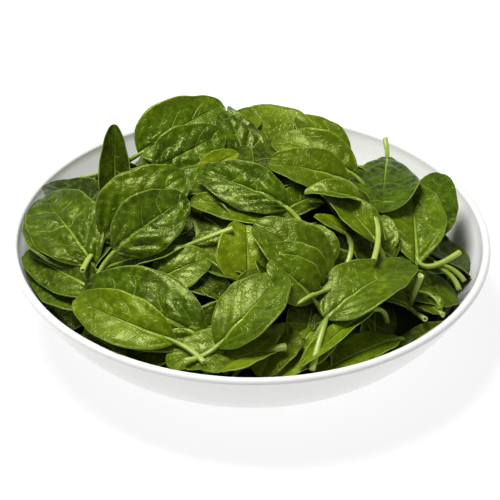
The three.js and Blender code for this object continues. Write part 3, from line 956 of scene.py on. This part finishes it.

# %% [markdown]
# Now the heap is laid: the listed leaves, the far slope, then the deep layer.
# A cloth simulation could drop them into the bowl, but no leaf would land where it should.
# Each leaf is a little brighter or duller than its line says, because no two are the same,
# and the deep ones are painted darker than the rest, as painted shade.

# %% Lay the leaves
BRIGHT_SPREAD = 0.16
FAR_BRIGHT = (0.4, 0.2)
FAR_YELLOW = 0.3
# The deep leaves are painted dark: painted shade of the leaves above them.
DEEP_SHADE_BRIGHTNESS = (0.05, 0.25)
DEEP_YELLOW = 0.2
laid = {"puckered": [], "smooth": [], "deep": [], "stalks": []}
mark_draw = seeded_draws(SEED + 2)


def lay(group, kind, brightness, yellow, row, draw):
    blade = blades["deep" if group == "deep" else "shown"]
    piece, leaf, lines = bent_blade(blade, row, kind, draw, mark_draw)
    vary = BRIGHT_SPREAD * (next(mark_draw) - 0.5)
    rough = 1.0 if kind == "puckered" else 0.0
    note(piece, lines | {"bright": brightness + vary, "yellow": yellow, "rough": rough})
    laid[group].append(piece)
    laid["stalks"].append(leaf_stalk(leaf))


def drawn_brightness(least, spread):
    return least + spread * next(deep_draw)


for kind, brightness, yellow, row in SHOWN_LEAVES:
    lay(kind, kind, brightness, yellow, row, draw)
for row in far_rows:
    lay("smooth", "smooth", drawn_brightness(*FAR_BRIGHT), FAR_YELLOW, row, draw)
for row in deep_rows:
    lay("deep", "smooth", drawn_brightness(*DEEP_SHADE_BRIGHTNESS), DEEP_YELLOW, row, deep_draw)
print({group: len(pieces) for group, pieces in laid.items()})

# %% [markdown]
# A few cut stalks lie loose between the leaves, or stick out where their leaf is hidden.
# Each line gives the start, a place on the way, the cut end and the diameter.
# The curve has to pass through the middle place, so its bend is worked out beyond it.

# %% Lay the loose stalks
LOOSE_STALKS = [
    (82, -62, 44, 84, -62, 54, 87, -62, 66, 4),
    (96, -38, 58, 106, -41, 55, 112, -44, 50, 3),
    (97, -39, 56, 105, -44, 53, 109, -49, 48, 3),
    (23, -88, 65, 31, -82, 67, 41, -74, 66, 2.8),
    (-30, -33, 79, -27, -40, 74, -27, -48, 70, 3),
    (84, -50, 44, 92, -60, 53, 98, -67, 49, 1.6),
    (6, -111, 50, 12, -111, 55, 18, -110, 56, 4),
    (39, -91, 61, 35, -105, 57, 31, -119, 49, 3.4),
]

for row in LOOSE_STALKS:
    start, middle, end = (np.array(row[i : i + 3], float) for i in (0, 3, 6))
    bend = 2 * middle - (start + end) / 2
    laid["stalks"].append(bent_stalk(start, bend, end, row[9]))
print(len(laid["stalks"]), "stalks in all")

# %% [markdown]
# Leaves of one kind share a finish, and a hundred small pieces would be hard to handle,
# so they are joined into one piece. A blade is half a millimetre thick: one Solidify modifier
# thickens all the sheets of a piece, and gives the underside and the edge the second
# finish, because the underside of a leaf is paler and duller.

# %% Join and thicken
BLADE_THICKNESS = 0.5


def joined(pieces, name):
    deselect()
    for piece in pieces:
        piece.select_set(True)
    bpy.context.view_layer.objects.active = pieces[0]
    bpy.ops.object.join()
    whole = bpy.context.object
    whole.name = name
    bpy.ops.object.shade_smooth()
    return whole


def thicken(whole):
    skin = whole.modifiers.new("thickness", "SOLIDIFY")
    skin.thickness = BLADE_THICKNESS * MM
    skin.offset = 0
    skin.material_offset = 1
    skin.material_offset_rim = 1
    bpy.context.view_layer.objects.active = whole
    bpy.ops.object.modifier_apply(modifier=skin.name)


leaves = {kind: joined(laid[kind], f"{kind}_leaves") for kind in ("puckered", "smooth", "deep")}
stalks = joined(laid["stalks"], "leaf_stalks")
for blank in (*blades.values(), stalk):
    bpy.data.objects.remove(blank)
print({kind: len(whole.data.polygons) for kind, whole in leaves.items()}, "faces")

# %% [markdown]
# Fresh spinach is a deep yellowish green. Its creases between the domes get painted shade,
# and each leaf has a brightness and yellowness, kept on its points; the brightness is partly the
# leaf's own tone and partly painted light and shade. One green would look painted, so
# two noises go over it: patches a centimetre or two wide and a mottle of a few millimetres.

# %% Green of the blade
LEAF_DARK_AND_SHADE = (0.006, 0.018, 0.0005, 1)
LEAF_MIDDLE = (0.046, 0.086, 0.0005, 1)
LEAF_BRIGHT = (0.126, 0.195, 0.001, 1)
LEAF_YELLOW = (0.190, 0.200, 0.001, 1)
UNDER_PALE = (0.140, 0.205, 0.040, 1)
UNDER_SHARE = 0.45
PATCH_CONTRAST = 0.8
MOTTLE_CONTRAST = 0.9
YELLOW_SHARE = 0.3
CREASE_SHADE_SHARE = 0.3


def blade_green(finish, patches, mottle, crease_shade, under):
    # The bright number holds the leaf's own tone together with painted light and shade.
    bright = finish.attribute("bright") + (patches - 0.5) * PATCH_CONTRAST
    bright = bright + (mottle - 0.5) * MOTTLE_CONTRAST
    body = finish.blend(finish.step(bright, 0.0, 0.55), LEAF_DARK_AND_SHADE, LEAF_MIDDLE)
    body = finish.blend(finish.step(bright, 0.45, 1.05), body, LEAF_BRIGHT)
    body = finish.blend(finish.attribute("yellow") * YELLOW_SHARE, body, LEAF_YELLOW)
    # Painted shade: the creases between the domes are darkened towards the darkest green.
    body = finish.blend(crease_shade * CREASE_SHADE_SHARE, body, LEAF_DARK_AND_SHADE)
    if under:
        body = finish.blend(UNDER_SHARE, body, UNDER_PALE)
    return body


print("from deep to bright green, a leaf gets", round(LEAF_BRIGHT[1] / LEAF_DARK_AND_SHADE[1]), "times lighter")

# %% [markdown]
# The veins are paler lines: a midrib that thins towards the tip, side veins that fade before
# the edge, and a net of veinlets, a few millimetres a mesh. They could be painted on a
# picture. Here the midrib and side veins come from the numbers kept on each point, and the
# net from cells in space, broken up by the mottle, because a whole net looks like a fishing net.

# %% Veins of the blade
VEIN_PALE = (0.240, 0.340, 0.040, 1)
# The edge colour is painted light, shining through the thin rim of the blade.
EDGE_LIGHT_PAINTED = (0.260, 0.350, 0.050, 1)
VEINLET_SCALE = 380
VEINLET_WIDTH = 0.16
VEINLET_SHARE = 0.09
EDGE_LIGHT_SHARE = 0.5


def veinlet_lines(finish, mottle):
    lines = 1 - finish.step(finish.cells(VEINLET_SCALE), 0.0, VEINLET_WIDTH)
    return lines * finish.step(mottle, 0.4, 0.65)


def side_vein_lines(finish):
    place = finish.attribute("veins")
    between = abs(place.math("FRACT", place) - 0.5) * 2
    fading = 1 - finish.step(finish.attribute("across"), 0.25, 0.85)
    return finish.step(between, 0.88, 0.99) * fading


def midrib_line(finish, share):
    distance = finish.attribute("rib") + share * 1.5 - 0.4
    return 1 - finish.step(distance, 0.5, 1.3)


def veined(finish, body, veinlets, side_veins, midrib):
    rough, share = finish.attribute("rough"), finish.attribute("share")
    body = finish.blend(veinlets * VEINLET_SHARE, body, VEIN_PALE)
    body = finish.blend(side_veins * (rough * 0.25 + 0.22), body, VEIN_PALE)
    body = finish.blend(midrib * (1 - share * 0.7) * 0.8, body, VEIN_PALE)
    # Painted light: a thin pale rim along the edge, where light shines through the blade.
    edge = finish.step(finish.attribute("across"), 0.95, 0.99)
    return finish.blend(edge * EDGE_LIGHT_SHARE, body, EDGE_LIGHT_PAINTED)


print("a mesh of the veinlets is about", round(1 / VEINLET_SCALE / MM, 1), "mm wide")

# %% [markdown]
# The upper side has a waxy sheen, the underside is duller, so the two are one recipe with
# a few numbers changed. The veins sink the surface as well as colouring it, and small domes
# and the mottle raise it, so that the light breaks as it does on a real leaf.
# On the underside the same relief is turned round.

# %% Leaf finish
SHEEN_TINT = (0.85, 1.0, 0.28, 1)
UPPER_ROUGHNESS = 0.21
UNDER_ROUGHNESS = 0.4
DOME_SCALE = 120
RELIEF_DEPTH = 0.4
RELIEF_STRENGTH = 0.8


def leaf_finish(name, under):
    finish = Finish(name, Specular_IOR_Level=0.3, Specular_Tint=SHEEN_TINT)
    patches = finish.noise(70, 3)
    mottle = finish.noise(330, 3)
    rough = finish.attribute("rough")
    domes = finish.step(finish.cells(DOME_SCALE), 0.0, 0.35) * rough
    veinlets = veinlet_lines(finish, mottle)
    side_veins = side_vein_lines(finish)
    midrib = midrib_line(finish, finish.attribute("share"))
    # rough - domes is the crease mask that gets painted shade.
    body = blade_green(finish, patches, mottle, rough - domes, under)
    finish.feed("Base Color", veined(finish, body, veinlets, side_veins, midrib))
    finish.feed("Roughness", patches * 0.2 + (UNDER_ROUGHNESS if under else UPPER_ROUGHNESS))
    creases = veinlets * 0.4 + side_veins * (rough * 0.7 + 0.5) + midrib * 2.0
    relief = domes * 0.8 + mottle * 0.65 - creases
    finish.bump(relief * (-1.0 if under else 1.0), RELIEF_DEPTH * MM, RELIEF_STRENGTH)
    return finish


upper, lower = leaf_finish("leaf_upper_side", False), leaf_finish("leaf_underside", True)
for whole in leaves.values():
    give(whole, upper, lower)
    thicken(whole)
print({kind: len(whole.data.polygons) for kind, whole in leaves.items()}, "faces, both sides")

# %% [markdown]
# Stalks are paler and juicier than the blades: bright yellow-green, and palest in the hollow
# of the cut. A little light goes into the flesh and comes out again, which the shader's
# subsurface does better than any colour. A fine bump stands for the fibres.

# %% Stalk finish
STALK_GREEN = (0.150, 0.235, 0.010, 1)
STALK_PALE = (0.320, 0.410, 0.070, 1)
CUT_PALE = (0.420, 0.500, 0.190, 1)
FLESH_GLOW = (0.8, 1.0, 0.3)
FLESH_DEPTH = 3
FIBRE_DEPTH = 0.15


def stalk_finish():
    finish = Finish("stalk_flesh", IOR=1.42, Subsurface_Weight=0.15)
    finish.feed("Subsurface Scale", FLESH_DEPTH * MM)
    finish.feed("Subsurface Radius", FLESH_GLOW)
    patches = finish.noise(110, 3)
    along = finish.attribute("share") * 0.5 + patches * 0.8
    body = finish.blend(finish.step(along, 0.3, 0.9), STALK_GREEN, STALK_PALE)
    body = finish.blend(finish.attribute("cut"), body, CUT_PALE)
    finish.feed("Base Color", body)
    finish.feed("Roughness", patches * 0.2 + 0.25)
    finish.bump(finish.noise(700), FIBRE_DEPTH * MM, 0.6)
    return finish


give(stalks, stalk_finish())
print("stalks finished with", stalks.data.materials[0].name)

# %% [markdown]
# The core is what lies in the dark between the leaves, so its colour is painted shade.
# A plain black would look like a hole, so it gets crumpled deep greens and folds two millimetres
# deep.

# %% Core finish
CORE_SHADE_DARK = (0.003, 0.008, 0.001, 1)
CORE_SHADE_GREEN = (0.020, 0.042, 0.002, 1)
FOLD_DEPTH = 2


def core_finish():
    finish = Finish("packed_leaves_in_painted_shade", Specular_IOR_Level=0.1)
    folds = finish.noise(90, 4)
    # Painted shade: the core's greens are as dark as the shade between the leaves.
    finish.feed("Base Color", finish.blend(folds, CORE_SHADE_DARK, CORE_SHADE_GREEN))
    finish.feed("Roughness", folds * 0.2 + 0.5)
    finish.bump(folds, FOLD_DEPTH * MM)
    return finish


give(core, core_finish())
print("core finished with", core.data.materials[0].name)

# %% [markdown]
# Last, each piece is told what it rides on, so that it moves with it, and the plain solid
# it stands for disappears.

# %% Hand over
for piece in (*leaves.values(), stalks, core):
    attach(piece, "root")
    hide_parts("spinach_heap")
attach(bowl, "root")
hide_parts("bowl")
